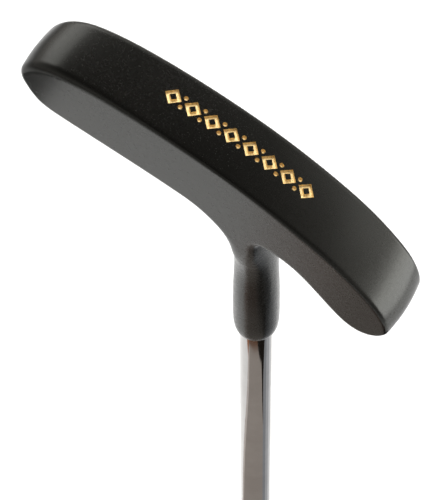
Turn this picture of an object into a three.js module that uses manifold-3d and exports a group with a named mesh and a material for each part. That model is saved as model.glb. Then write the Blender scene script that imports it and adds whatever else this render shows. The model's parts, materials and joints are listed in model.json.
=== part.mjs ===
// Blade putter, rocker sole, two lofted faces, steel shaft and pistol grip.
// Millimetres. The shaft is the Z axis: the grip's butt end is at z = 0 and the
// head is at the top, sole up, the way a putter stands in a bag.
// +X points to the heel, -Y is one striking face and +Y the other.
import * as THREE from "three";
import { mergeVertices } from "three/addons/utils/BufferGeometryUtils.js";
import Module from "manifold-3d";

const wasm = await Module();
wasm.setup();

// ---------------------------------------------------------------- dimensions
const CLUB_LENGTH = 889; // along the shaft, sole to butt (35 in)
const LIE = THREE.MathUtils.degToRad(70.4); // shaft to sole line
const SOLE_TO_HOSEL_END = 83; // along the shaft axis
const HOSEL_END = CLUB_LENGTH - SOLE_TO_HOSEL_END; // z of the hosel's mouth

// head
const SOLE_WIDTH = 20.2; // between the two faces, at the lowest sole line
const LOFT = THREE.MathUtils.degToRad(3.2); // each face leans inwards from sole to topline
const TOE_TAPER = -0.006; // half width lost per mm towards the toe
const EDGE = 0.9; // edge break all round the blade
const PROUD = 0.3; // the outline's corners lie this far outside its edge lines
const HOSEL_R = 6.5;
const NECK_R = 5.75;
const NECK_FROM = 28; // above the mouth, where the neck starts to deepen
const BORE_R = 5.0;
const BORE_DEPTH = 32;

// shaft: parallel butt and tip, steps between
const TIP_R = 4.7; // 0.370 in parallel tip
const BUTT_R = 7.6;
const SHAFT_FROM = 4.5;
const SHAFT_TO = HOSEL_END + 30;
const BUTT_PARALLEL_TO = 290;
const STEPS = 8;
const STEP_PITCH = 38;
const WALL = 0.7;

// bond, plug and weight in the shaft tip
const BOND_IN = 4.75;
const BOND_OUT = 4.93;
const BOND_LENGTH = 29;
const PLUG_R = 3.85;
const PLUG_LENGTH = 12;
const WEIGHT_R = 3.85;
const WEIGHT_LENGTH = 15;

// grip
const GRIP_LENGTH = 266;
const TAPE_IN = 7.7;
const TAPE_OUT = 7.9;
const GRIP_BORE = 8.0;
const CAP_R = 7.6;
const CAP_THICK = 4;
const VENT_R = 1.5;

const SEG = 40;

// ------------------------------------------------------------------- helpers
function solid(geometry) {
  const g = geometry.clone();
  for (const name of Object.keys(g.attributes))
    if (name !== "position") g.deleteAttribute(name);
  const m = mergeVertices(g, 1e-4);
  return new wasm.Manifold(
    new wasm.Mesh({
      numProp: 3,
      vertProperties: new Float32Array(m.attributes.position.array),
      triVerts: new Uint32Array(m.index.array),
    }),
  );
}

function geometryOf(manifold) {
  const m = manifold.getMesh();
  const v = new Float32Array(m.numVert * 3);
  for (let i = 0; i < m.numVert; i++)
    for (let j = 0; j < 3; j++)
      v[3 * i + j] = m.vertProperties[i * m.numProp + j];
  const g = new THREE.BufferGeometry();
  g.setAttribute("position", new THREE.BufferAttribute(v, 3));
  g.setIndex(new THREE.BufferAttribute(new Uint32Array(m.triVerts), 1));
  g.computeVertexNormals();
  return g;
}

// A turned piece about Z from [radius, z] pairs; the profile runs so that the
// outside is traced upwards and the inside downwards.
function turned(profile, segments = SEG) {
  const g = new THREE.LatheGeometry(
    profile.map(([r, z]) => new THREE.Vector2(r, z)),
    segments,
  );
  g.rotateX(Math.PI / 2);
  return g;
}

// Head profile points are given in the head's own frame, [towards toe, up the
// club], with its origin on the shaft axis at the hosel's mouth.
function toRow([u, v]) {
  return new THREE.Vector2(
    -u * Math.sin(LIE) - v * Math.cos(LIE),
    HOSEL_END + u * Math.cos(LIE) - v * Math.sin(LIE),
  );
}

function fromRow(x, z) {
  const h = z - HOSEL_END;
  return [
    -x * Math.sin(LIE) + h * Math.cos(LIE),
    -x * Math.cos(LIE) - h * Math.sin(LIE),
  ];
}

// ---------------------------------------------------------------------- head
const SOLE_LINE = [
  [91.2, -57.6], [90.6, -60.8], [88.4, -64.9], [83.7, -69.3], [77.9, -72.1],
  [69.8, -74.5], [57.7, -76.5], [45.6, -77.7], [33.4, -78.3], [22.5, -78.1],
  [11.5, -77.1], [0.7, -75.4], [-7.7, -73.1], [-16.4, -69.3], [-21.2, -66.2],
  [-24.8, -62.6], [-26.3, -59.6],
];
const TOP_LINE = [
  [-25.9, -56.7], [-24.3, -53.6], [-21.8, -51.1], [-18.0, -49.8],
  [-13.7, -50.5], [-8.9, -52.6], [-4.7, -54.7], [-0.4, -56.7], [4.5, -58.2],
  [8.2, -57.2], [11.4, -52.6], [14.0, -47.5], [17.5, -45.5], [20.0, -47.2],
  [23.0, -50.2], [27.0, -52.7], [31.5, -54.0], [35.5, -54.3], [43.5, -53.6],
  [51.8, -52.5], [60.2, -51.2], [68.6, -49.9], [74.8, -49.0], [79.1, -48.6],
  [82.6, -49.0], [85.6, -50.6], [88.4, -53.0], [90.4, -55.2],
];
const LOWEST = -78.3;

function halfWidth(x, z) {
  const [u, v] = fromRow(x, z);
  return SOLE_WIDTH / 2 + TOE_TAPER * (u - 28) - (v - LOWEST) * Math.tan(LOFT);
}

function blade() {
  const outline = new THREE.CatmullRomCurve3(
    [...SOLE_LINE, ...TOP_LINE].map((p) => {
      const q = toRow(p);
      return new THREE.Vector3(q.x, q.y, 0);
    }),
    true,
    "centripetal",
  )
    .getSpacedPoints(150)
    .slice(0, -1)
    .map((p) => new THREE.Vector2(p.x, p.y));
  const g = new THREE.ExtrudeGeometry(new THREE.Shape(outline), {
    depth: SOLE_WIDTH - 2 * EDGE,
    steps: 1,
    bevelEnabled: true,
    bevelThickness: EDGE,
    bevelSize: EDGE,
    bevelOffset: PROUD - EDGE,
    bevelSegments: 3,
  });
  g.translate(0, 0, EDGE - SOLE_WIDTH / 2);
  g.rotateX(Math.PI / 2);
  // lean the two faces in towards the topline
  const p = g.attributes.position;
  for (let i = 0; i < p.count; i++)
    p.setY(
      i,
      (p.getY(i) * halfWidth(p.getX(i), p.getZ(i))) / (SOLE_WIDTH / 2),
    );
  return solid(g);
}

// Front-to-back depth of the neck over its width, at a height above the mouth.
const NECK_DEPTH = [
  [NECK_FROM, 1.0],
  [33, 1.02],
  [37, 1.07],
  [41, 1.17],
  [44, 1.29],
  [47, 1.45],
  [50, 1.62],
  [54, 1.8],
  [64, 2.0],
];

function neckDepth(h) {
  if (h <= NECK_FROM) return 1;
  for (let i = 1; i < NECK_DEPTH.length; i++) {
    const [h0, d0] = NECK_DEPTH[i - 1];
    const [h1, d1] = NECK_DEPTH[i];
    if (h <= h1) return d0 + ((h - h0) / (h1 - h0)) * (d1 - d0);
  }
  return 2;
}

function hosel() {
  const z = HOSEL_END;
  const g = turned([
    [0, z],
    [5.35, z],
    [5.75, z + 0.8],
    [6.15, z + 2.2],
    [6.4, z + 4.6],
    [HOSEL_R, z + 8],
    [HOSEL_R, z + 16],
    [6.4, z + 22.5],
    [6.2, z + NECK_FROM],
    [5.97, z + 33],
    [5.84, z + 37],
    [NECK_R, z + 41],
    [NECK_R, z + 44],
    [NECK_R, z + 47],
    [NECK_R, z + 50],
    [NECK_R, z + 54],
    [NECK_R, z + 64],
    [0, z + 64],
  ]);
  const p = g.attributes.position;
  for (let i = 0; i < p.count; i++)
    p.setY(i, p.getY(i) * neckDepth(p.getZ(i) - z));
  return solid(g).intersect(faceWedge());
}

// Everything between the two faces, just inside them; it opens out below the
// blade so that it clears the round part of the hosel.
function faceWedge() {
  const turn = HOSEL_END + 34;
  const g = new THREE.BoxGeometry(60, 2, 100, 1, 1, 2);
  g.translate(0, 0, turn);
  const p = g.attributes.position;
  for (let i = 0; i < p.count; i++) {
    const x = p.getX(i);
    const z = Math.max(turn, p.getZ(i));
    const open = p.getZ(i) < turn - 1 ? 9 : 0;
    p.setY(i, p.getY(i) * (halfWidth(x, z) - 0.05 + open));
  }
  return solid(g);
}

function headCasting() {
  const z = HOSEL_END;
  const bore = solid(
    turned([
      [0, z - 2],
      [BORE_R + 0.08, z - 2],
      [BORE_R + 0.08, z + 0.1],
      [BORE_R, z + 0.4],
      [BORE_R, z + BORE_DEPTH],
      [0, z + BORE_DEPTH + 2.6],
    ]),
  );
  return geometryOf(blade().add(hosel()).subtract(bore));
}

// --------------------------------------------------------------------- shaft
function shaftTube() {
  const outer = [];
  outer.push([BUTT_R - 0.2, SHAFT_FROM], [BUTT_R, SHAFT_FROM + 0.4]);
  const drop = (BUTT_R - TIP_R) / STEPS;
  for (let i = 0; i < STEPS; i++) {
    const z = BUTT_PARALLEL_TO + i * STEP_PITCH;
    outer.push([BUTT_R - i * drop, z], [BUTT_R - (i + 1) * drop, z + 1.2]);
  }
  outer.push([TIP_R, SHAFT_TO - 0.4], [TIP_R - 0.25, SHAFT_TO]);
  const inner = outer.map(([r, z]) => [r - WALL, z]).reverse();
  inner[0] = [TIP_R - WALL, SHAFT_TO];
  inner[inner.length - 1] = [BUTT_R - WALL, SHAFT_FROM];
  const ring = [...outer, ...inner];
  ring.push(ring[0]);
  return geometryOf(solid(turned(ring)));
}

function ring(inR, outR, from, to) {
  return turned([
    [inR, from],
    [outR, from],
    [outR, to],
    [inR, to],
    [inR, from],
  ]);
}

function rod(r, from, to, edge = 0.5) {
  return turned([
    [0, from],
    [r - edge, from],
    [r, from + edge],
    [r, to - edge],
    [r - edge, to],
    [0, to],
  ]);
}

// ---------------------------------------------------------------------- grip
// Section of the pistol grip at height z: half width (Y), reach of the flat
// front (-X) and reach of the rounded back (+X), measured from the shaft axis.
const GRIP_STATIONS = [
  // z, half width, flat front, rounded back
  [0.0, 12.2, 9.3, 17.2],
  [1.2, 13.2, 10.2, 18.4],
  [4.0, 13.7, 10.7, 19.2],
  [18.0, 13.9, 10.9, 19.6],
  [45.0, 13.9, 10.9, 18.6],
  [75.0, 13.5, 10.7, 16.0],
  [105.0, 12.9, 10.4, 13.9],
  [135.0, 12.4, 10.2, 13.0],
  [165.0, 12.0, 10.0, 12.6],
  [195.0, 11.4, 9.8, 12.0],
  [225.0, 10.7, 9.5, 11.2],
  [252.0, 10.0, 9.3, 10.3],
  [262.0, 9.7, 9.2, 9.9],
  [265.0, 9.4, 9.1, 9.6],
  [GRIP_LENGTH, 8.9, 8.8, 9.1],
];
const GRIP_REFERENCE_R = 12;

function gripRadius(z, angle) {
  let i = 0;
  while (i < GRIP_STATIONS.length - 2 && z > GRIP_STATIONS[i + 1][0]) i++;
  const a = GRIP_STATIONS[i];
  const b = GRIP_STATIONS[i + 1];
  const t = Math.min(1, Math.max(0, (z - a[0]) / (b[0] - a[0])));
  const [, w, front, back] = a.map((v, k) => v + t * (b[k] - v));
  const c = Math.cos(angle); // +X is the rounded back
  const s = Math.sin(angle);
  const reach = c > 0 ? back : w;
  const power = c > 0 ? 2.2 : 2.6;
  let r =
    1 /
    Math.pow(
      Math.pow(Math.abs(c) / reach, power) + Math.pow(Math.abs(s) / w, power),
      1 / power,
    );
  if (c < 0) r = Math.min(r, front / -c); // flat front for the thumbs
  return r;
}

function gripRubber() {
  const outerZ = GRIP_STATIONS.map((s) => s[0]);
  const profile = [
    [CAP_R + 0.4, 0],
    ...outerZ.map((z) => [GRIP_REFERENCE_R, z]),
    [GRIP_BORE, GRIP_LENGTH],
    [GRIP_BORE, CAP_THICK + 0.2],
    [CAP_R + 0.4, CAP_THICK + 0.2],
    [CAP_R + 0.4, 0],
  ];
  const g = turned(profile, 48);
  const p = g.attributes.position;
  for (let i = 0; i < p.count; i++) {
    const x = p.getX(i);
    const y = p.getY(i);
    const r = Math.hypot(x, y);
    if (r < GRIP_REFERENCE_R - 0.01) continue;
    const q = gripRadius(p.getZ(i), Math.atan2(y, x)) / r;
    p.setXY(i, x * q, y * q);
  }
  return g;
}

// ------------------------------------------------------------------ assembly
const material = (color, roughness, metalness) =>
  new THREE.MeshStandardMaterial({ color, roughness, metalness });
const blackFinish = material(0x1d1c19, 0.5, 0.6);
const chrome = material(0xd6d6d8, 0.12, 1.0);
const epoxy = material(0xb9ae8a, 0.5, 0.0);
const cork = material(0xb58a58, 0.9, 0.0);
const brass = material(0xb79a4f, 0.35, 1.0);
const tape = material(0xd9d2bd, 0.85, 0.0);
const rubber = material(0x161616, 0.8, 0.0);
const hardRubber = material(0x1c1c1c, 0.6, 0.0);

const putter = new THREE.Group();
function add(name, geometry, mat) {
  const mesh = new THREE.Mesh(geometry, mat);
  mesh.name = name;
  putter.add(mesh);
}

add("putter_head", headCasting(), blackFinish);
add("shaft_tube", shaftTube(), chrome);
add(
  "hosel_bond_epoxy",
  ring(BOND_IN, BOND_OUT, HOSEL_END + 1.2, HOSEL_END + 1.2 + BOND_LENGTH),
  epoxy,
);
add(
  "shaft_tip_weight",
  rod(WEIGHT_R, SHAFT_TO - 0.5 - WEIGHT_LENGTH, SHAFT_TO - 0.5),
  brass,
);
add(
  "shaft_tip_cork",
  rod(
    PLUG_R,
    SHAFT_TO - 1 - WEIGHT_LENGTH - PLUG_LENGTH,
    SHAFT_TO - 1 - WEIGHT_LENGTH,
  ),
  cork,
);
add("grip_tape", ring(TAPE_IN, TAPE_OUT, 6, GRIP_LENGTH - 4), tape);
add("pistol_grip", gripRubber(), rubber);
add("grip_end_cap", ring(VENT_R, CAP_R, 0, CAP_THICK), hardRubber);

export default putter;
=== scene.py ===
import bpy, bmesh, json, math
import numpy as np
from mathutils import Vector, Matrix

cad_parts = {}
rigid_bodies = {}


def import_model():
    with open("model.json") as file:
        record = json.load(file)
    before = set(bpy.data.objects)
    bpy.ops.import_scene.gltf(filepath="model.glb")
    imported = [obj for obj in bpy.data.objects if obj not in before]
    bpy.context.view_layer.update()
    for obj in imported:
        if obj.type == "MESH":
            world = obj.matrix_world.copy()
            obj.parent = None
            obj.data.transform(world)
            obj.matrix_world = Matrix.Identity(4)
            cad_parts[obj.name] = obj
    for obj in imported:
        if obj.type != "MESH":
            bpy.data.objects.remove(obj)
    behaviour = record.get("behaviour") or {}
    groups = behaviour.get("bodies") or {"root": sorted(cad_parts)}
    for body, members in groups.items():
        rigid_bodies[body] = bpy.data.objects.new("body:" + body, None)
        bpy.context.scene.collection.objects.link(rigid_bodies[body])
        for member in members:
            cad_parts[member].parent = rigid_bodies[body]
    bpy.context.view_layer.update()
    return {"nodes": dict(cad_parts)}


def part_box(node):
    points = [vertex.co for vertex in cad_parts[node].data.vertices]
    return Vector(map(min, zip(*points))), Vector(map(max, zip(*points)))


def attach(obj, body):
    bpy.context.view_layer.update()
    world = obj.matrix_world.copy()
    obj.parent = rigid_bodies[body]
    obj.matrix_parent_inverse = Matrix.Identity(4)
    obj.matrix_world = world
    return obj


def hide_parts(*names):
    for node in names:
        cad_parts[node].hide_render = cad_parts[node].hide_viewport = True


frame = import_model()
nodes = frame["nodes"]


scene = bpy.context.scene
MM = 0.001

# ------------------------------------------------------------------ camera
hosel_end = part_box("putter_head")[0].z / MM  # the hosel's mouth, mm
F_PX = 2509.03
cam_data = bpy.data.cameras.new("camera")
cam_data.sensor_width = 36.0
cam_data.sensor_fit = "AUTO"
cam_data.lens = F_PX / 500.0 * 36.0
cam_data.clip_start = 0.01
cam_data.clip_end = 50
cam = bpy.data.objects.new("camera", cam_data)
scene.collection.objects.link(cam)
right = Vector((0.85884125, 0.51216225, -0.00902968)).normalized()
forward = Vector((-0.27784172, 0.45095663, -0.84819932)).normalized()
up = right.cross(forward).normalized()
right = forward.cross(up).normalized()
pos = Vector((178.2398, -307.195, hosel_end + 608.5887)) * MM
cam.matrix_world = Matrix((
    (right.x, up.x, -forward.x, pos.x),
    (right.y, up.y, -forward.y, pos.y),
    (right.z, up.z, -forward.z, pos.z),
    (0, 0, 0, 1),
))
# the picture's middle is at (221.5, 250) of 443 x 500, so no shift
scene.camera = cam


# ------------------------------------------------------------- node helpers
class N:
    """Small wrapper that builds a material's node tree."""

    def __init__(self, name):
        self.mat = bpy.data.materials.new(name)
        self.mat.use_nodes = True
        self.t = self.mat.node_tree
        self.t.nodes.clear()
        self.out = self.t.nodes.new("ShaderNodeOutputMaterial")
        self.b = self.t.nodes.new("ShaderNodeBsdfPrincipled")
        self.t.links.new(self.b.outputs[0], self.out.inputs[0])
        self.co = self.t.nodes.new("ShaderNodeTexCoord").outputs["Object"]

    def node(self, kind, **values):
        n = self.t.nodes.new(kind)
        for k, v in values.items():
            if k in n.inputs:
                n.inputs[k].default_value = v
            else:
                setattr(n, k, v)
        return n

    def link(self, a, b):
        self.t.links.new(a, b)

    def mapping(self, scale=(1, 1, 1), rot=(0, 0, 0)):
        m = self.node("ShaderNodeMapping")
        m.inputs["Scale"].default_value = scale
        m.inputs["Rotation"].default_value = rot
        self.link(self.co, m.inputs["Vector"])
        return m.outputs[0]

    def noise(self, scale, detail=3.0, rough=0.5, vector=None):
        n = self.node("ShaderNodeTexNoise")
        n.inputs["Scale"].default_value = scale
        n.inputs["Detail"].default_value = detail
        n.inputs["Roughness"].default_value = rough
        self.link(vector if vector is not None else self.co, n.inputs["Vector"])
        return n.outputs["Fac"]

    def ramp(self, fac, stops, interp="LINEAR"):
        r = self.node("ShaderNodeValToRGB")
        r.color_ramp.interpolation = interp
        e = r.color_ramp.elements
        while len(e) > 1:
            e.remove(e[-1])
        e[0].position, e[0].color = stops[0][0], self.rgba(stops[0][1])
        for p, c in stops[1:]:
            x = e.new(p)
            x.color = self.rgba(c)
        self.link(fac, r.inputs["Fac"])
        return r.outputs["Color"]

    @staticmethod
    def rgba(c):
        if isinstance(c, (int, float)):
            return (c, c, c, 1)
        return (*c, 1) if len(c) == 3 else c

    def remap(self, fac, a, b, lo, hi):
        m = self.node("ShaderNodeMapRange")
        for k, v in zip(("From Min", "From Max", "To Min", "To Max"), (a, b, lo, hi)):
            m.inputs[k].default_value = v
        self.link(fac, m.inputs["Value"])
        return m.outputs["Result"]

    def math(self, op, a, b=None, clamp=False):
        m = self.node("ShaderNodeMath")
        m.operation = op
        m.use_clamp = clamp
        for i, v in enumerate((a, b)):
            if v is None:
                continue
            if isinstance(v, (int, float)):
                m.inputs[i].default_value = v
            else:
                self.link(v, m.inputs[i])
        return m.outputs[0]

    def mix(self, fac, a, b):
        m = self.node("ShaderNodeMix")
        m.data_type = "RGBA"
        for sock, v in ((m.inputs[0], fac), (m.inputs[6], a), (m.inputs[7], b)):
            if isinstance(v, (int, float)):
                sock.default_value = v if sock is m.inputs[0] else (v, v, v, 1)
            elif isinstance(v, tuple):
                sock.default_value = self.rgba(v)
            else:
                self.link(v, sock)
        return m.outputs[2]

    def bump(self, height, distance, strength=1.0):
        b = self.node("ShaderNodeBump")
        b.inputs["Strength"].default_value = strength
        b.inputs["Distance"].default_value = distance
        self.link(height, b.inputs["Height"])
        self.link(b.outputs[0], self.b.inputs["Normal"])
        return b


def set_in(n, **values):
    for k, v in values.items():
        n.b.inputs[k.replace("_", " ")].default_value = v


# ---------------------------------------------------------------- materials
def black_head():
    n = N("head_satin_black")
    big = n.noise(28.0, 4.0, 0.55)
    fine = n.noise(900.0, 2.0, 0.6)
    cast = n.noise(2600.0, 2.0, 0.5)
    base = n.ramp(big, [(0.3, (0.0030, 0.0029, 0.0025)), (0.7, (0.0046, 0.0043, 0.0037))])
    # the coat rubs thin on the edges
    geo = n.node("ShaderNodeNewGeometry")
    edge = n.remap(geo.outputs["Pointiness"], 0.55, 0.66, 0.0, 1.0)
    worn = n.math("MULTIPLY", edge, n.remap(n.noise(140.0, 4.0), 0.42, 0.62, 0.0, 0.20), clamp=True)
    n.link(n.mix(worn, base, (0.05, 0.046, 0.04)), n.b.inputs["Base Color"])
    rough = n.math("ADD", n.remap(big, 0.25, 0.75, 0.235, 0.285), n.remap(fine, 0.3, 0.7, -0.02, 0.03))
    n.link(rough, n.b.inputs["Roughness"])
    set_in(n, Metallic=0.0, IOR=1.59)
    n.b.inputs["Specular Tint"].default_value = (0.985, 1.0, 0.925, 1)
    n.b.inputs["Coat Weight"].default_value = 0.0
    h = n.math("ADD", n.math("MULTIPLY", fine, 0.55), n.math("MULTIPLY", cast, 0.45))
    n.bump(h, 0.000006, 0.12)
    return n.mat


def gold_paint():
    n = N("gold_fill_paint")
    g = n.noise(2400.0, 3.0, 0.6)
    n.link(n.ramp(g, [(0.3, (0.46, 0.31, 0.11)), (0.5, (0.80, 0.60, 0.28)), (0.8, (0.92, 0.77, 0.45))]), n.b.inputs["Base Color"])
    n.link(n.remap(g, 0.3, 0.7, 0.30, 0.48), n.b.inputs["Roughness"])
    set_in(n, Metallic=0.15)
    n.bump(g, 0.00004, 0.5)
    return n.mat


def chrome():
    n = N("chrome_plate")
    run = n.noise(300.0, 3.0, 0.5, n.mapping((1, 1, 0.03)))
    haze = n.noise(60.0, 4.0, 0.6)
    n.link(n.ramp(haze, [(0.35, (0.58, 0.565, 0.55)), (0.7, (0.66, 0.65, 0.635))]), n.b.inputs["Base Color"])
    n.link(n.math("ADD", n.remap(haze, 0.3, 0.7, 0.035, 0.075), n.remap(run, 0.3, 0.7, 0.0, 0.03)), n.b.inputs["Roughness"])
    set_in(n, Metallic=1.0)
    n.bump(run, 0.000004, 0.2)
    return n.mat


def rubber(name, grip):
    n = N(name)
    big = n.noise(35.0, 4.0)
    fine = n.noise(1500.0, 3.0, 0.65)
    n.link(n.ramp(big, [(0.3, 0.010), (0.7, 0.019)]), n.b.inputs["Base Color"])
    n.link(n.math("ADD", n.remap(big, 0.3, 0.7, 0.58, 0.72), n.remap(fine, 0.3, 0.7, -0.05, 0.05)), n.b.inputs["Roughness"])
    set_in(n, Metallic=0.0)
    n.b.inputs["Specular IOR Level"].default_value = 0.45
    n.bump(fine, 0.00006, 0.6 if grip else 0.35)
    return n.mat


def epoxy():
    n = N("cured_epoxy")
    a = n.noise(700.0, 3.0)
    n.link(n.ramp(a, [(0.3, (0.05, 0.046, 0.036)), (0.7, (0.085, 0.078, 0.06))]), n.b.inputs["Base Color"])
    n.link(n.remap(a, 0.3, 0.7, 0.35, 0.55), n.b.inputs["Roughness"])
    n.bump(a, 0.00005, 0.5)
    return n.mat


def brass():
    n = N("turned_brass")
    a = n.noise(80.0, 3.0, 0.5, n.mapping((1, 1, 40)))
    n.link(n.ramp(a, [(0.3, (0.55, 0.38, 0.13)), (0.7, (0.68, 0.50, 0.20))]), n.b.inputs["Base Color"])
    n.link(n.remap(a, 0.3, 0.7, 0.22, 0.38), n.b.inputs["Roughness"])
    set_in(n, Metallic=1.0)
    n.bump(a, 0.00002, 0.4)
    return n.mat


def cork():
    n = N("natural_cork")
    v = n.node("ShaderNodeTexVoronoi")
    v.inputs["Scale"].default_value = 900.0
    n.link(n.co, v.inputs["Vector"])
    a = n.noise(500.0, 4.0)
    n.link(n.mix(n.remap(a, 0.35, 0.65, 0, 1), (0.50, 0.30, 0.14), (0.30, 0.16, 0.07)), n.b.inputs["Base Color"])
    n.link(n.remap(a, 0.3, 0.7, 0.8, 0.95), n.b.inputs["Roughness"])
    n.bump(v.outputs["Distance"], 0.0002, 0.5)
    return n.mat


def tape():
    n = N("paper_tape")
    a = n.noise(600.0, 5.0, 0.7, n.mapping((1, 1, 0.3)))
    n.link(n.ramp(a, [(0.3, (0.52, 0.46, 0.33)), (0.7, (0.68, 0.62, 0.48))]), n.b.inputs["Base Color"])
    n.link(n.remap(a, 0.3, 0.7, 0.75, 0.92), n.b.inputs["Roughness"])
    n.bump(a, 0.00008, 0.6)
    return n.mat


M_HEAD, M_GOLD, M_CHROME = black_head(), gold_paint(), chrome()
M_GRIP, M_CAP = rubber("grip_rubber_matt", True), rubber("cap_rubber_hard", False)
for node, mat in (("hosel_bond_epoxy", epoxy()), ("shaft_tip_weight", brass()), ("shaft_tip_cork", cork()), ("grip_tape", tape()), ("grip_end_cap", M_CAP)):
    o = nodes[node]
    o.data.materials.clear()
    o.data.materials.append(mat)


def new_object(name, verts, faces, mat, smooth=True):
    me = bpy.data.meshes.new(name)
    me.from_pydata([tuple(v) for v in verts], [], [tuple(f) for f in faces])
    me.update()
    me.materials.append(mat)
    me.polygons.foreach_set("use_smooth", [smooth] * len(me.polygons))
    o = bpy.data.objects.new(name, me)
    scene.collection.objects.link(o)
    return o


# --------------------------------------------------------------------- head
LIE = math.radians(70.4)
SL, CL = math.sin(LIE), math.cos(LIE)
SOLE_LINE = [(91.2, -57.6), (90.6, -60.8), (88.4, -64.9), (83.7, -69.3), (77.9, -72.1), (69.8, -74.5), (57.7, -76.5), (45.6, -77.7), (33.4, -78.3), (22.5, -78.1), (11.5, -77.1), (0.7, -75.4), (-7.7, -73.1), (-16.4, -69.3), (-21.2, -66.2), (-24.8, -62.6), (-26.3, -59.6)]
TOP_LINE = [(-25.9, -56.7), (-24.3, -53.6), (-21.8, -51.1), (-18.0, -49.8), (-13.7, -50.5), (-8.9, -52.6), (-4.7, -54.7), (-0.4, -56.7), (4.5, -58.2), (10.5, -58.3), (20.0, -56.6), (28.0, -55.0), (35.0, -54.4), (43.5, -53.6), (51.8, -52.5), (60.2, -51.2), (68.6, -49.9), (74.8, -49.0), (79.1, -48.6), (82.6, -49.0), (85.6, -50.6), (88.4, -53.0), (90.4, -55.2)]


def catmull(points, per=14):
    """Closed centripetal spline through the points."""
    p = np.array(points, float)
    n = len(p)
    out = []
    for i in range(n):
        p0, p1, p2, p3 = (p[(i + k) % n] for k in (-1, 0, 1, 2))
        t0 = 0.0
        t1 = t0 + np.linalg.norm(p1 - p0) ** 0.5
        t2 = t1 + np.linalg.norm(p2 - p1) ** 0.5
        t3 = t2 + np.linalg.norm(p3 - p2) ** 0.5
        for t in np.linspace(t1, t2, per, endpoint=False):
            a1 = (t1 - t) / (t1 - t0) * p0 + (t - t0) / (t1 - t0) * p1
            a2 = (t2 - t) / (t2 - t1) * p1 + (t - t1) / (t2 - t1) * p2
            a3 = (t3 - t) / (t3 - t2) * p2 + (t - t2) / (t3 - t2) * p3
            b1 = (t2 - t) / (t2 - t0) * a1 + (t - t0) / (t2 - t0) * a2
            b2 = (t3 - t) / (t3 - t1) * a2 + (t - t1) / (t3 - t1) * a3
            out.append((t2 - t) / (t2 - t1) * b1 + (t - t1) / (t2 - t1) * b2)
    return np.array(out)


outline = catmull(SOLE_LINE + TOP_LINE)
# light smoothing so that the highlight runs evenly along the sole
for _ in range(30):
    outline = 0.5 * outline + 0.25 * (np.roll(outline, 1, 0) + np.roll(outline, -1, 0))
OUT = np.c_[-outline[:, 0] * SL - outline[:, 1] * CL, outline[:, 0] * CL - outline[:, 1] * SL]  # row X, height over the hosel's mouth


def half_width(x, h):
    u, v = -x * SL + h * CL, -x * CL - h * SL
    return 10.1 - 0.006 * (u - 28) - (v + 78.3) * math.tan(math.radians(3.2))


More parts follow.
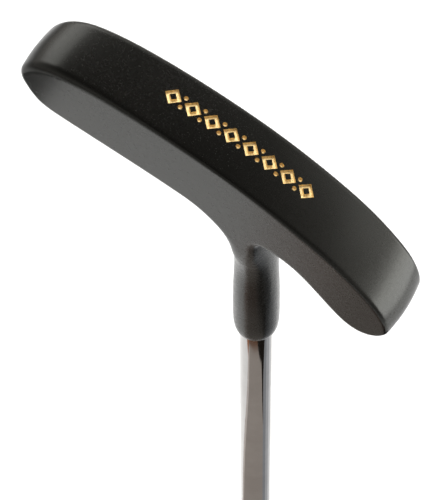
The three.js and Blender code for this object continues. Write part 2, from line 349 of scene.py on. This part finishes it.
def head_field(step):
    lo = np.array([OUT[:, 0].min() - 2, -11.5, -1.6])
    hi = np.array([OUT[:, 0].max() + 2, 11.5, OUT[:, 1].max() + 2])
    n = np.ceil((hi - lo) / step).astype(int) + 1
    xs, ys, zs = (lo[i] + step * np.arange(n[i]) for i in range(3))
    # distance to the outline in the X-Z plane
    GX, GZ = np.meshgrid(xs, zs, indexing="ij")
    pts = np.c_[GX.ravel(), GZ.ravel()]
    a = OUT
    b = np.roll(OUT, -1, 0)
    best = np.full(len(pts), 1e9)
    arg = np.zeros(len(pts), int)
    inside = np.zeros(len(pts), bool)
    for i in range(len(a)):
        ab = b[i] - a[i]
        w = pts - a[i]
        t = np.clip((w @ ab) / (ab @ ab), 0, 1)
        d = np.hypot(w[:, 0] - t * ab[0], w[:, 1] - t * ab[1])
        m = d < best
        best[m] = d[m]
        arg[m] = i
        crossing = (a[i, 1] > pts[:, 1]) != (b[i, 1] > pts[:, 1])
        if ab[1] != 0:
            inside ^= crossing & (pts[:, 0] < a[i, 0] + ab[0] * (pts[:, 1] - a[i, 1]) / ab[1])
    d2 = np.where(inside, -best, best).reshape(GX.shape)
    # crown across the blade: how far the edge sits inside the middle line
    u = outline[:, 0]
    v = outline[:, 1]
    crown = np.full(len(OUT), 0.30)
    top = v > -59.5
    crown[top] = 0.15
    for cx_, cv, s in ((91.0, -58.5, 6.5), (-26.2, -59.0, 6.5)):
        d = np.hypot(u - cx_, v - cv)
        crown += 0.75 * np.exp(-(d / s) ** 2)
    for _ in range(60):
        crown = 0.5 * crown + 0.25 * (np.roll(crown, 1) + np.roll(crown, -1))
    C2 = crown[arg].reshape(GX.shape)
    hw2 = half_width(GX, GZ)
    X = xs[:, None, None]
    Y = ys[None, :, None]
    Z = zs[None, None, :]
    HW = hw2[:, None, :]
    yy = np.abs(Y) / 9.5
    prism = d2[:, None, :] - 0.29 + C2[:, None, :] * np.clip(yy, 0, 1.05) ** 2 * np.clip((d2[:, None, :] + 9) / 9, 0, 1)
    # hosel
    hz = [-5, 0, 0.4, 0.9, 1.6, 2.4, 3.4, 4.6, 6.0, 8, 16, 22, 28, 34, 40, 46, 52, 66]
    hr = [5.2, 5.2, 5.50, 5.74, 5.98, 6.16, 6.30, 6.40, 6.46, 6.5, 6.5, 6.42, 6.22, 5.95, 5.75, 5.72, 5.8, 6.0]
    # the neck deepens front to back until it is flush with both faces
    dz = [-5, 26, 31, 35, 39, 42, 45, 48, 52, 66]
    dr = [1.0, 1.0, 1.02, 1.07, 1.17, 1.29, 1.45, 1.62, 1.80, 2.0]
    zf = np.linspace(-5, 100, 1051)
    kern = np.exp(-0.5 * (np.arange(-30, 31) / 12.0) ** 2)
    kern /= kern.sum()

    def eased(px, py, lo_=8.0):
        a_ = np.interp(zf, px, py)
        b_ = np.convolve(np.pad(a_, 30, mode="edge"), kern, mode="valid")
        w_ = np.clip((zf - lo_) / 4.0, 0, 1)
        return np.interp(Z, zf, a_ * (1 - w_) + b_ * w_)

    R = eased(hz, hr)
    DR = eased(dz, dr)
    rad = np.sqrt(X ** 2 + Y ** 2)
    hos = np.sqrt(X ** 2 + (Y / DR) ** 2) - R
    hos = np.maximum(hos, Z - 66)
    # fillet where the hosel runs into the topline
    k = 8.75 + 4.25 * np.tanh(-X / 4.0)
    hh = np.clip(k - np.abs(prism - hos), 0, None) / k
    body = np.minimum(prism, hos) - hh * hh * k * 0.25
    # the two faces; below the topline the limit opens out clear of the hosel
    lim = np.where(Z > 34, HW, HW + (34 - Z) * 0.25)
    slab = (np.abs(Y) - lim) * math.cos(math.radians(3.2))
    # the edge break is wider towards the toe
    q = np.clip((-X - 5.0) / 50.0, 0, 1)
    r = 0.85 + 1.3 * q * q * (3 - 2 * q)
    slab = slab - 0.16 * (r - 0.85)
    A, B = body + r, slab + r
    d = np.minimum(np.maximum(A, B), 0) + np.sqrt(np.clip(A, 0, None) ** 2 + np.clip(B, 0, None) ** 2) - r
    # mouth and bore
    d = np.maximum(d, -Z + 0 * d)
    bore = np.maximum(rad - np.interp(Z, [-5, 0, 0.3, 40], [5.08, 5.08, 5.0, 5.0]), Z - 32)
    d = np.maximum(d, -bore)
    return d.astype(np.float32), lo, step, (xs, ys, zs)


def surface_nets(d, lo, step):
    nx, ny, nz = d.shape
    s = d < 0
    cells = (nx - 1, ny - 1, nz - 1)
    corners = [(i, j, k) for i in (0, 1) for j in (0, 1) for k in (0, 1)]

    def at(arr, c):
        return arr[c[0]:c[0] + cells[0], c[1]:c[1] + cells[1], c[2]:c[2] + cells[2]]

    cnt_in = sum(at(s, c).astype(np.int8) for c in corners)
    active = (cnt_in > 0) & (cnt_in < 8)
    idx = np.full(cells, -1, np.int64)
    ci = np.argwhere(active)
    idx[active] = np.arange(len(ci))
    acc = np.zeros((len(ci), 3))
    num = np.zeros(len(ci))
    for a in corners:
        for ax in range(3):
            if a[ax]:
                continue
            b = list(a)
            b[ax] = 1
            da = d[ci[:, 0] + a[0], ci[:, 1] + a[1], ci[:, 2] + a[2]].astype(float)
            db = d[ci[:, 0] + b[0], ci[:, 1] + b[1], ci[:, 2] + b[2]].astype(float)
            m = (da < 0) != (db < 0)
            t = np.where(m, da / np.where(m, da - db, 1), 0)
            p = np.repeat(np.array(a, float)[None], len(ci), 0)
            p[:, ax] = t
            acc[m] += p[m]
            num[m] += 1
    verts = lo + (ci + acc / num[:, None]) * step
    faces = []
    for ax in range(3):
        o1, o2 = [(1, 2), (2, 0), (0, 1)][ax]
        sl_a = [slice(None)] * 3
        sl_b = [slice(None)] * 3
        sl_a[ax] = slice(0, -1)
        sl_b[ax] = slice(1, None)
        A, B = s[tuple(sl_a)], s[tuple(sl_b)]
        e = np.argwhere(A != B)
        e = e[(e[:, o1] > 0) & (e[:, o2] > 0) & (e[:, o1] < d.shape[o1] - 1) & (e[:, o2] < d.shape[o2] - 1)]
        flip = A[e[:, 0], e[:, 1], e[:, 2]]
        q = []
        for du, dv in ((-1, -1), (0, -1), (0, 0), (-1, 0)):
            c = e.copy()
            c[:, o1] += du
            c[:, o2] += dv
            q.append(idx[c[:, 0], c[:, 1], c[:, 2]])
        q = np.stack(q, 1)
        faces.append(np.where(flip[:, None], q, q[:, ::-1]))
    return verts, np.concatenate(faces)


def trilinear(d, lo, step, p):
    g = (p - lo) / step
    i = np.clip(np.floor(g).astype(int), 0, np.array(d.shape) - 2)
    f = g - i
    out = 0
    for a in (0, 1):
        for b in (0, 1):
            for c in (0, 1):
                w = (f[:, 0] if a else 1 - f[:, 0]) * (f[:, 1] if b else 1 - f[:, 1]) * (f[:, 2] if c else 1 - f[:, 2])
                out = out + w * d[i[:, 0] + a, i[:, 1] + b, i[:, 2] + c]
    return out


STEP = 0.5
field, lo, step, axes = head_field(STEP)
verts, quads = surface_nets(field, lo, step)
# pull each point onto the field's surface
for _ in range(3):
    e = 0.5 * step
    g = np.stack([
        trilinear(field, lo, step, verts + np.array(v) * e) - trilinear(field, lo, step, verts - np.array(v) * e)
        for v in ((1, 0, 0), (0, 1, 0), (0, 0, 1))
    ], 1) / (2 * e)
    val = trilinear(field, lo, step, verts)
    gn = np.clip((g ** 2).sum(1), 0.25, None)
    move = -(val / gn)[:, None] * g * 0.7
    verts = verts + np.clip(move, -0.2, 0.2)
verts[:, 2] += hosel_end
head = new_object("blade_head_casting", verts * MM, quads, M_HEAD)
head.data.materials.append(M_GOLD)

# ------------------------------------------------ engraved ornament, sole side
# A border of open lozenges and dots, cut 0.35 mm into the sole and filled gold.
sole_u = outline[:, 0]
is_sole = np.arange(len(outline)) < 14 * (len(SOLE_LINE) - 1)
su = outline[is_sole]
arc = np.r_[0, np.cumsum(np.hypot(*np.diff(su, axis=0).T))]


def sole_at(a):
    """Row X, height and unit tangent (towards the heel) at an arc length from the toe."""
    p = np.array([np.interp(a, arc, su[:, k]) for k in (0, 1)])
    q = np.array([np.interp(a + 0.5, arc, su[:, k]) for k in (0, 1)])
    t = (q - p) / np.linalg.norm(q - p)
    to = lambda w: np.array([-w[0] * SL - w[1] * CL, w[0] * CL - w[1] * SL])
    return to(p), to(t)


def cutter(loops, name):
    """loops: closed (along, across) outlines in mm, wound anticlockwise; each becomes a prism through the sole surface."""
    bm = bmesh.new()
    for ring_outer, ring_inner in loops:
        def lift(pt, depth):
            p, t = sole_at(pt[0])
            n = np.array([-t[1], t[0]])
            if n[1] < 0:
                n = -n
            crown_drop = 0.45 * (pt[1] / 9.5) ** 2
            h = depth - crown_drop
            return bm.verts.new(((p[0] + n[0] * h) * MM, pt[1] * MM, (hosel_end + p[1] + n[1] * h) * MM))
        to_, bo = [lift(p, 0.8) for p in ring_outer], [lift(p, -0.35) for p in ring_outer]
        m = len(ring_outer)
        if ring_inner:
            ti, bi = [lift(p, 0.8) for p in ring_inner], [lift(p, -0.35) for p in ring_inner]
            for i in range(m):
                j = (i + 1) % m
                bm.faces.new((bo[i], bo[j], to_[j], to_[i]))
                bm.faces.new((ti[i], ti[j], bi[j], bi[i]))
                bm.faces.new((to_[i], to_[j], ti[j], ti[i]))
                bm.faces.new((bi[i], bi[j], bo[j], bo[i]))
        else:
            for i in range(m):
                j = (i + 1) % m
                bm.faces.new((bo[i], bo[j], to_[j], to_[i]))
            bm.faces.new(to_)
            bm.faces.new(bo[::-1])
    bmesh.ops.recalc_face_normals(bm, faces=bm.faces[:])
    me = bpy.data.meshes.new(name)
    bm.to_mesh(me)
    bm.free()
    me.materials.append(M_HEAD)
    me.materials.append(M_GOLD)
    me.polygons.foreach_set("material_index", [1] * len(me.polygons))
    o = bpy.data.objects.new(name, me)
    scene.collection.objects.link(o)
    return o


def densify(ring, per):
    out = []
    for i in range(len(ring)):
        a, b = np.array(ring[i]), np.array(ring[(i + 1) % len(ring)])
        for t in np.linspace(0, 1, per, endpoint=False):
            out.append(tuple(a + t * (b - a)))
    return out


loops = []
START, PITCH, COUNT, YC = 44.9, 5.9, 8, 1.2
for i in range(COUNT):
    c = START + PITCH * i
    outer = densify([(c - 2.5, YC), (c, YC - 2.5), (c + 2.5, YC), (c, YC + 2.5)], 4)
    inner = densify([(c - 1.1, YC), (c, YC - 1.1), (c + 1.1, YC), (c, YC + 1.1)], 4)
    loops.append((outer, inner))
    if i < COUNT - 1:
        dc = c + PITCH / 2
        for sgn in (-1, 1):
            yq = YC + sgn * 1.55
            loops.append(([(dc + 0.62 * math.cos(q), yq + 0.62 * math.sin(q)) for q in np.linspace(0, 2 * math.pi, 12, endpoint=False)], None))
cut = cutter(loops, "ornament_cutter")
mod = head.modifiers.new("engrave", "BOOLEAN")
mod.operation = "DIFFERENCE"
mod.solver = "EXACT"
mod.object = cut
bpy.context.view_layer.update()
dg = bpy.context.evaluated_depsgraph_get()
me = bpy.data.meshes.new_from_object(head.evaluated_get(dg))
head.modifiers.clear()
head.data = me
bpy.data.objects.remove(cut)
print("HEAD mesh", len(me.vertices), len(me.polygons), "gold faces", sum(p.material_index == 1 for p in me.polygons), "mats", [m.name for m in me.materials])
for p in me.polygons:
    p.use_smooth = p.material_index == 0
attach(head, "root")
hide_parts("putter_head")


# -------------------------------------------------------------------- shaft
def lathe(profile, seg=96, closed=True):
    p = np.array(profile, float)
    ang = np.linspace(0, 2 * math.pi, seg, endpoint=False)
    v = np.array([(r * math.cos(a), r * math.sin(a), z) for r, z in p for a in ang]) * MM
    f = []
    n = len(p)
    for i in range(n if closed else n - 1):
        j = (i + 1) % n
        for s in range(seg):
            t = (s + 1) % seg
            f.append((i * seg + s, i * seg + t, j * seg + t, j * seg + s))
    return v, f


BUTT_R, TIP_R, STEPS, PITCH_S, PAR = 7.6, 4.7, 8, 38.0, 290.0
z0, z1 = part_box("shaft_tube")[0].z / MM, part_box("shaft_tube")[1].z / MM
prof = [(BUTT_R - 0.25, z0), (BUTT_R - 0.08, z0 + 0.1), (BUTT_R, z0 + 0.4)]
drop = (BUTT_R - TIP_R) / STEPS
for i in range(STEPS):
    z = PAR + i * PITCH_S
    a, b = BUTT_R - i * drop, BUTT_R - (i + 1) * drop
    prof += [(a, z - 1.0), (a, z), (a - 0.04, z + 0.15), (a - drop * 0.5, z + 0.6), (b + 0.03, z + 1.1), (b, z + 1.3), (b, z + 2.5)]
prof += [(TIP_R, z1 - 0.6), (TIP_R - 0.07, z1 - 0.2), (TIP_R - 0.2, z1), (TIP_R - 0.7, z1)]
inner = [(r - 0.7, z) for r, z in prof[2:-4]][::-1]
prof += inner + [(BUTT_R - 0.7, z0)]
v, f = lathe(prof, 96)
shaft = new_object("stepped_shaft", v, f, M_CHROME)
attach(shaft, "root")
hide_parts("shaft_tube")

# --------------------------------------------------------------------- grip
ST = [(0.0, 12.2, 9.3, 17.2), (1.2, 13.2, 10.2, 18.4), (4.0, 13.7, 10.7, 19.2), (18.0, 13.9, 10.9, 19.6), (45.0, 13.9, 10.9, 18.6), (75.0, 13.5, 10.7, 16.0), (105.0, 12.9, 10.4, 13.9), (135.0, 12.4, 10.2, 13.0), (165.0, 12.0, 10.0, 12.6), (195.0, 11.4, 9.8, 12.0), (225.0, 10.7, 9.5, 11.2), (252.0, 10.0, 9.3, 10.3), (262.0, 9.7, 9.2, 9.9), (265.0, 9.4, 9.1, 9.6), (266.0, 8.9, 8.8, 9.1)]
STA = np.array(ST)


def station(z):
    # linear interpolation through the stations
    return [np.interp(z, STA[:, 0], STA[:, k]) for k in (1, 2, 3)]


def smooth_station(z):
    if z < 5 or z > 260:
        return station(z)
    w = [(-9, .06), (-6, .12), (-3, .2), (0, .24), (3, .2), (6, .12), (9, .06)]
    acc = np.zeros(3)
    for dz, k in w:
        acc += k * np.array(station(min(max(z + dz, 4.0), 262.0)))
    return acc


def grip_radius(z, ang):
    w, front, back = smooth_station(z)
    c, s = math.cos(ang), math.sin(ang)
    reach, power = (back, 2.2) if c > 0 else (w, 2.6)
    r = 1 / ((abs(c) / reach) ** power + (abs(s) / w) ** power) ** (1 / power)
    flat = False
    if c < 0:
        lim = front / -c
        k = 0.8  # soft corner between the flat and the round
        h = max(k - abs(r - lim), 0) / k
        flat = lim < r
        r = min(r, lim) - h * h * k * 0.25
    return r, flat


def groove(x, half):
    x = abs(x)
    return max(0.0, 1 - (x / half) ** 2) if x < half else 0.0


SEG_G = 240
zs_g = [0.0, 0.4, 0.8, 1.2, 2.0, 3.0, 4.0, 5.5, 7.0] + list(np.arange(8.0, 259.0, 0.75)) + [259.5, 260.5, 262.0, 263.2, 264.2, 265.0, 265.6, 266.0]
gv = []
for z in zs_g:
    for s in range(SEG_G):
        ang = 2 * math.pi * s / SEG_G
        r, flat = grip_radius(z, ang)
        x, y = r * math.cos(ang), r * math.sin(ang)
        depth = 0.0
        if 14 < z < 254:
            # flat front: rows of short cross bars in a plain panel
            if x < 0 and abs(y) < 6.2:
                m = (z - 14) % 5.0
                edge = min(1.0, max(0.0, (6.2 - abs(y)) / 0.6))
                depth = 0.45 * groove(m - 2.5, 0.9) * edge
            # back and sides: spiral wrap groove
            elif ang < math.radians(118) or ang > math.radians(242):
                sweep = math.degrees((ang + math.pi) % (2 * math.pi) - math.pi)
                m = (z - 14 + abs(sweep) * 0.10) % 11.0
                m2 = (z - 14 + abs(sweep) * 0.10 + 5.5) % 11.0
                fade = min(1.0, (118 - abs(sweep)) / 6.0)
                depth = (0.5 * groove(m - 5.5, 0.9) + 0.28 * groove(m2 - 5.5, 0.6)) * fade
        k = (r - depth) / r
        gv.append((x * k, y * k, z))
gf = []
for i in range(len(zs_g) - 1):
    for s in range(SEG_G):
        t = (s + 1) % SEG_G
        gf.append((i * SEG_G + s, i * SEG_G + t, (i + 1) * SEG_G + t, (i + 1) * SEG_G + s))
# upper lip, bore and the seat of the end cap
prev = (len(zs_g) - 1) * SEG_G
first = 0
for r, z in ((8.4, 266.0), (8.0, 265.6), (8.0, 4.2), (8.0, 0.2), (8.2, 0.0)):
    base = len(gv)
    gv += [(r * math.cos(2 * math.pi * s / SEG_G), r * math.sin(2 * math.pi * s / SEG_G), z) for s in range(SEG_G)]
    for s in range(SEG_G):
        t = (s + 1) % SEG_G
        gf.append((prev + s, prev + t, base + t, base + s))
    prev = base
for s in range(SEG_G):
    t = (s + 1) % SEG_G
    gf.append((prev + s, prev + t, first + t, first + s))
grip = new_object("pistol_grip_rubber", np.array(gv) * MM, gf, M_GRIP)
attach(grip, "root")
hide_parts("pistol_grip")

# end cap: domed rim and vent, a finer piece over the CAD disc
cv, cf = lathe([(1.5, 0.35), (1.8, 0.05), (2.2, 0.0), (5.4, 0.0), (5.7, 0.25), (6.1, 0.25), (6.4, 0.0), (7.2, 0.0), (7.5, 0.15), (7.6, 0.5), (7.6, 3.6), (7.4, 4.0), (1.8, 4.0), (1.5, 3.7)], 96)
cap = new_object("grip_cap_plug", cv, cf, M_CAP)
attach(cap, "root")
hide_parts("grip_end_cap")

for o in scene.objects:
    if o.type == "MESH" and o.name in (head.name, shaft.name, cap.name, grip.name):
        bm = bmesh.new()
        bm.from_mesh(o.data)
        if o is not head:
            bmesh.ops.recalc_face_normals(bm, faces=bm.faces[:])
            for e in bm.edges:
                if len(e.link_faces) == 2 and e.calc_face_angle(0) > math.radians(38):
                    e.smooth = False
        else:
            for e in bm.edges:
                if len(e.link_faces) == 2 and (e.calc_face_angle(0) > math.radians(40) or e.link_faces[0].material_index != e.link_faces[1].material_index):
                    e.smooth = False
        bm.to_mesh(o.data)
        bm.free()


# -------------------------------------------------------------------- stage
def stage_material(name, colour, rough=0.7):
    n = N(name)
    a = n.noise(6.0, 2.0)
    n.link(n.mix(n.remap(a, 0.3, 0.7, 0, 1), tuple(c * 0.985 for c in colour), colour), n.b.inputs["Base Color"])
    set_in(n, Roughness=rough, Metallic=0.0)
    return n.mat


fm = bpy.data.meshes.new("floor")
S = 12.0
fm.from_pydata([(-S, -S, 0), (S, -S, 0), (S, S, 0), (-S, S, 0)], [], [(0, 1, 2, 3)])
fm.materials.append(stage_material("pale_floor", (0.86, 0.86, 0.86)))
floor = bpy.data.objects.new("floor", fm)
floor.location.z = -0.002
scene.collection.objects.link(floor)

world = bpy.data.worlds.new("studio")
scene.world = world
world.use_nodes = True
wt = world.node_tree
bg = wt.nodes["Background"]
tc = wt.nodes.new("ShaderNodeTexCoord")
sep = wt.nodes.new("ShaderNodeSeparateXYZ")
wt.links.new(tc.outputs["Generated"], sep.inputs[0])
rp = wt.nodes.new("ShaderNodeValToRGB")
e = rp.color_ramp.elements
e[0].position, e[0].color = 0.0, (0.50, 0.47, 0.44, 1)
e[1].position, e[1].color = 1.0, (0.016, 0.015, 0.014, 1)
for p, c in ((0.35, 0.46), (0.60, 0.22), (0.76, 0.065), (0.88, 0.022)):
    x = e.new(p)
    x.color = (c, c * 0.96, c * 0.92, 1)
wt.links.new(sep.outputs["Z"], rp.inputs["Fac"])
side = wt.nodes.new("ShaderNodeMapRange")
for k_, v_ in (("From Min", 0.05), ("From Max", 0.55), ("To Min", 0.65), ("To Max", 1.25)):
    side.inputs[k_].default_value = v_
wt.links.new(sep.outputs["Y"], side.inputs["Value"])
mul = wt.nodes.new("ShaderNodeVectorMath")
mul.operation = "SCALE"
wt.links.new(rp.outputs["Color"], mul.inputs[0])
wt.links.new(side.outputs["Result"], mul.inputs["Scale"])
wt.links.new(mul.outputs["Vector"], bg.inputs["Color"])
bg.inputs["Strength"].default_value = 1.05


def area(name, loc, target, size, radiance, colour=(1, 1, 1), glossy=True):
    d = bpy.data.lights.new(name, "AREA")
    d.shape = "RECTANGLE"
    d.size, d.size_y = size
    d.energy = radiance * math.pi * size[0] * size[1]
    d.color = colour
    o = bpy.data.objects.new(name, d)
    scene.collection.objects.link(o)
    o.location = loc
    o.rotation_euler = (Vector(target) - Vector(loc)).to_track_quat("-Z", "Y").to_euler()
    o.visible_glossy = glossy
    o.visible_camera = False
    return o


HEADC = (0.0, 0.0, hosel_end * MM + 0.07)
area("back_softbox", (0.1, 1.55, 1.95), HEADC, (2.6, 0.8), 0.30)
area("heel_softbox", (1.7, 0.95, 0.66), HEADC, (1.2, 1.0), 3.3)
area("toe_softbox", (-1.48, 1.22, 1.75), HEADC, (1.3, 1.1), 1.25)
area("heel_upper", (1.35, 1.35, 1.75), HEADC, (0.9, 0.8), 0.6)
area("top_fill", (0.3, -0.2, 2.6), HEADC, (0.9, 0.9), 2.6, glossy=False)
area("floor_wash", (-0.4, 1.1, 2.4), (-0.35, 0.75, 0.0), (1.4, 1.0), 19.0, glossy=False)


def flag(name, corners, radiance):
    """A studio card that only reflections see, set to the brightness it would have."""
    me = bpy.data.meshes.new(name)
    me.from_pydata([tuple(c * MM for c in p) for p in corners], [], [tuple(range(len(corners)))])
    m = bpy.data.materials.new(name + "_card")
    m.use_nodes = True
    t = m.node_tree
    t.nodes.clear()
    out = t.nodes.new("ShaderNodeOutputMaterial")
    em = t.nodes.new("ShaderNodeEmission")
    em.inputs["Color"].default_value = (*radiance, 1)
    em.inputs["Strength"].default_value = 1.0
    t.links.new(em.outputs[0], out.inputs[0])
    me.materials.append(m)
    o = bpy.data.objects.new(name, me)
    scene.collection.objects.link(o)
    o.visible_camera = False
    o.visible_diffuse = False
    o.visible_shadow = False
    o.visible_transmission = False
    return o


H0 = hosel_end


def polar(points, z):
    return [(d * math.cos(math.radians(a)), d * math.sin(math.radians(a)), z) for d, a in points]


flag("flag_front", polar([(12, -150), (32, -141), (44, -134), (59, -121), (78, -106), (110, -101), (110, -80), (110, -55), (110, -30), (110, -12), (12, -10)], H0 - 132), (0.33, 0.295, 0.27))
flag("flag_front_soft", polar([(10, -165), (32, -156), (44, -149), (59, -136), (78, -118), (110, -108), (110, -80), (110, -60), (12, -60)], H0 - 133), (0.60, 0.55, 0.52))
flag("flag_brown", polar([(104, -111), (104, -100), (104, -90), (104, -80), (104, -70), (104, -60), (104, -48), (104, -36), (200, -36), (200, -60), (200, -85), (200, -111)], H0 - 131), (0.13, 0.066, 0.040))
flag("flag_heel_face", [(-58, -90, H0 - 129), (-30, -90, H0 - 129), (-22, -112, H0 - 129), (-58, -112, H0 - 129)], (0.34, 0.15, 0.08))
flag("flag_right", polar([(24, -13), (46, -22), (56, -26), (66, -50), (95, -62), (130, -54), (130, 12), (95, 16), (78, 8), (64, -8), (48, -13)], H0 - 81), (0.014, 0.011, 0.009))
flag("flag_grey", polar([(14, -12), (120, -14), (120, 10), (14, 10)], H0 - 135), (0.27, 0.28, 0.30))
flag("flag_grey_b", polar([(14, 9), (120, 9), (120, 33), (14, 33)], H0 - 135), (0.45, 0.46, 0.48))
flag("flag_grey_c", polar([(14, 33), (120, 33), (120, 56), (14, 56)], H0 - 135), (0.75, 0.76, 0.78))
flag("flag_toe_face", [(-130, -75, H0 + 18), (-86, -75, H0 + 18), (-86, -20, H0 + 18), (-130, -20, H0 + 18)], (0.13, 0.13, 0.125))

scene.view_settings.view_transform = "Standard"
scene.view_settings.look = "None"
scene.view_settings.exposure = 0.0
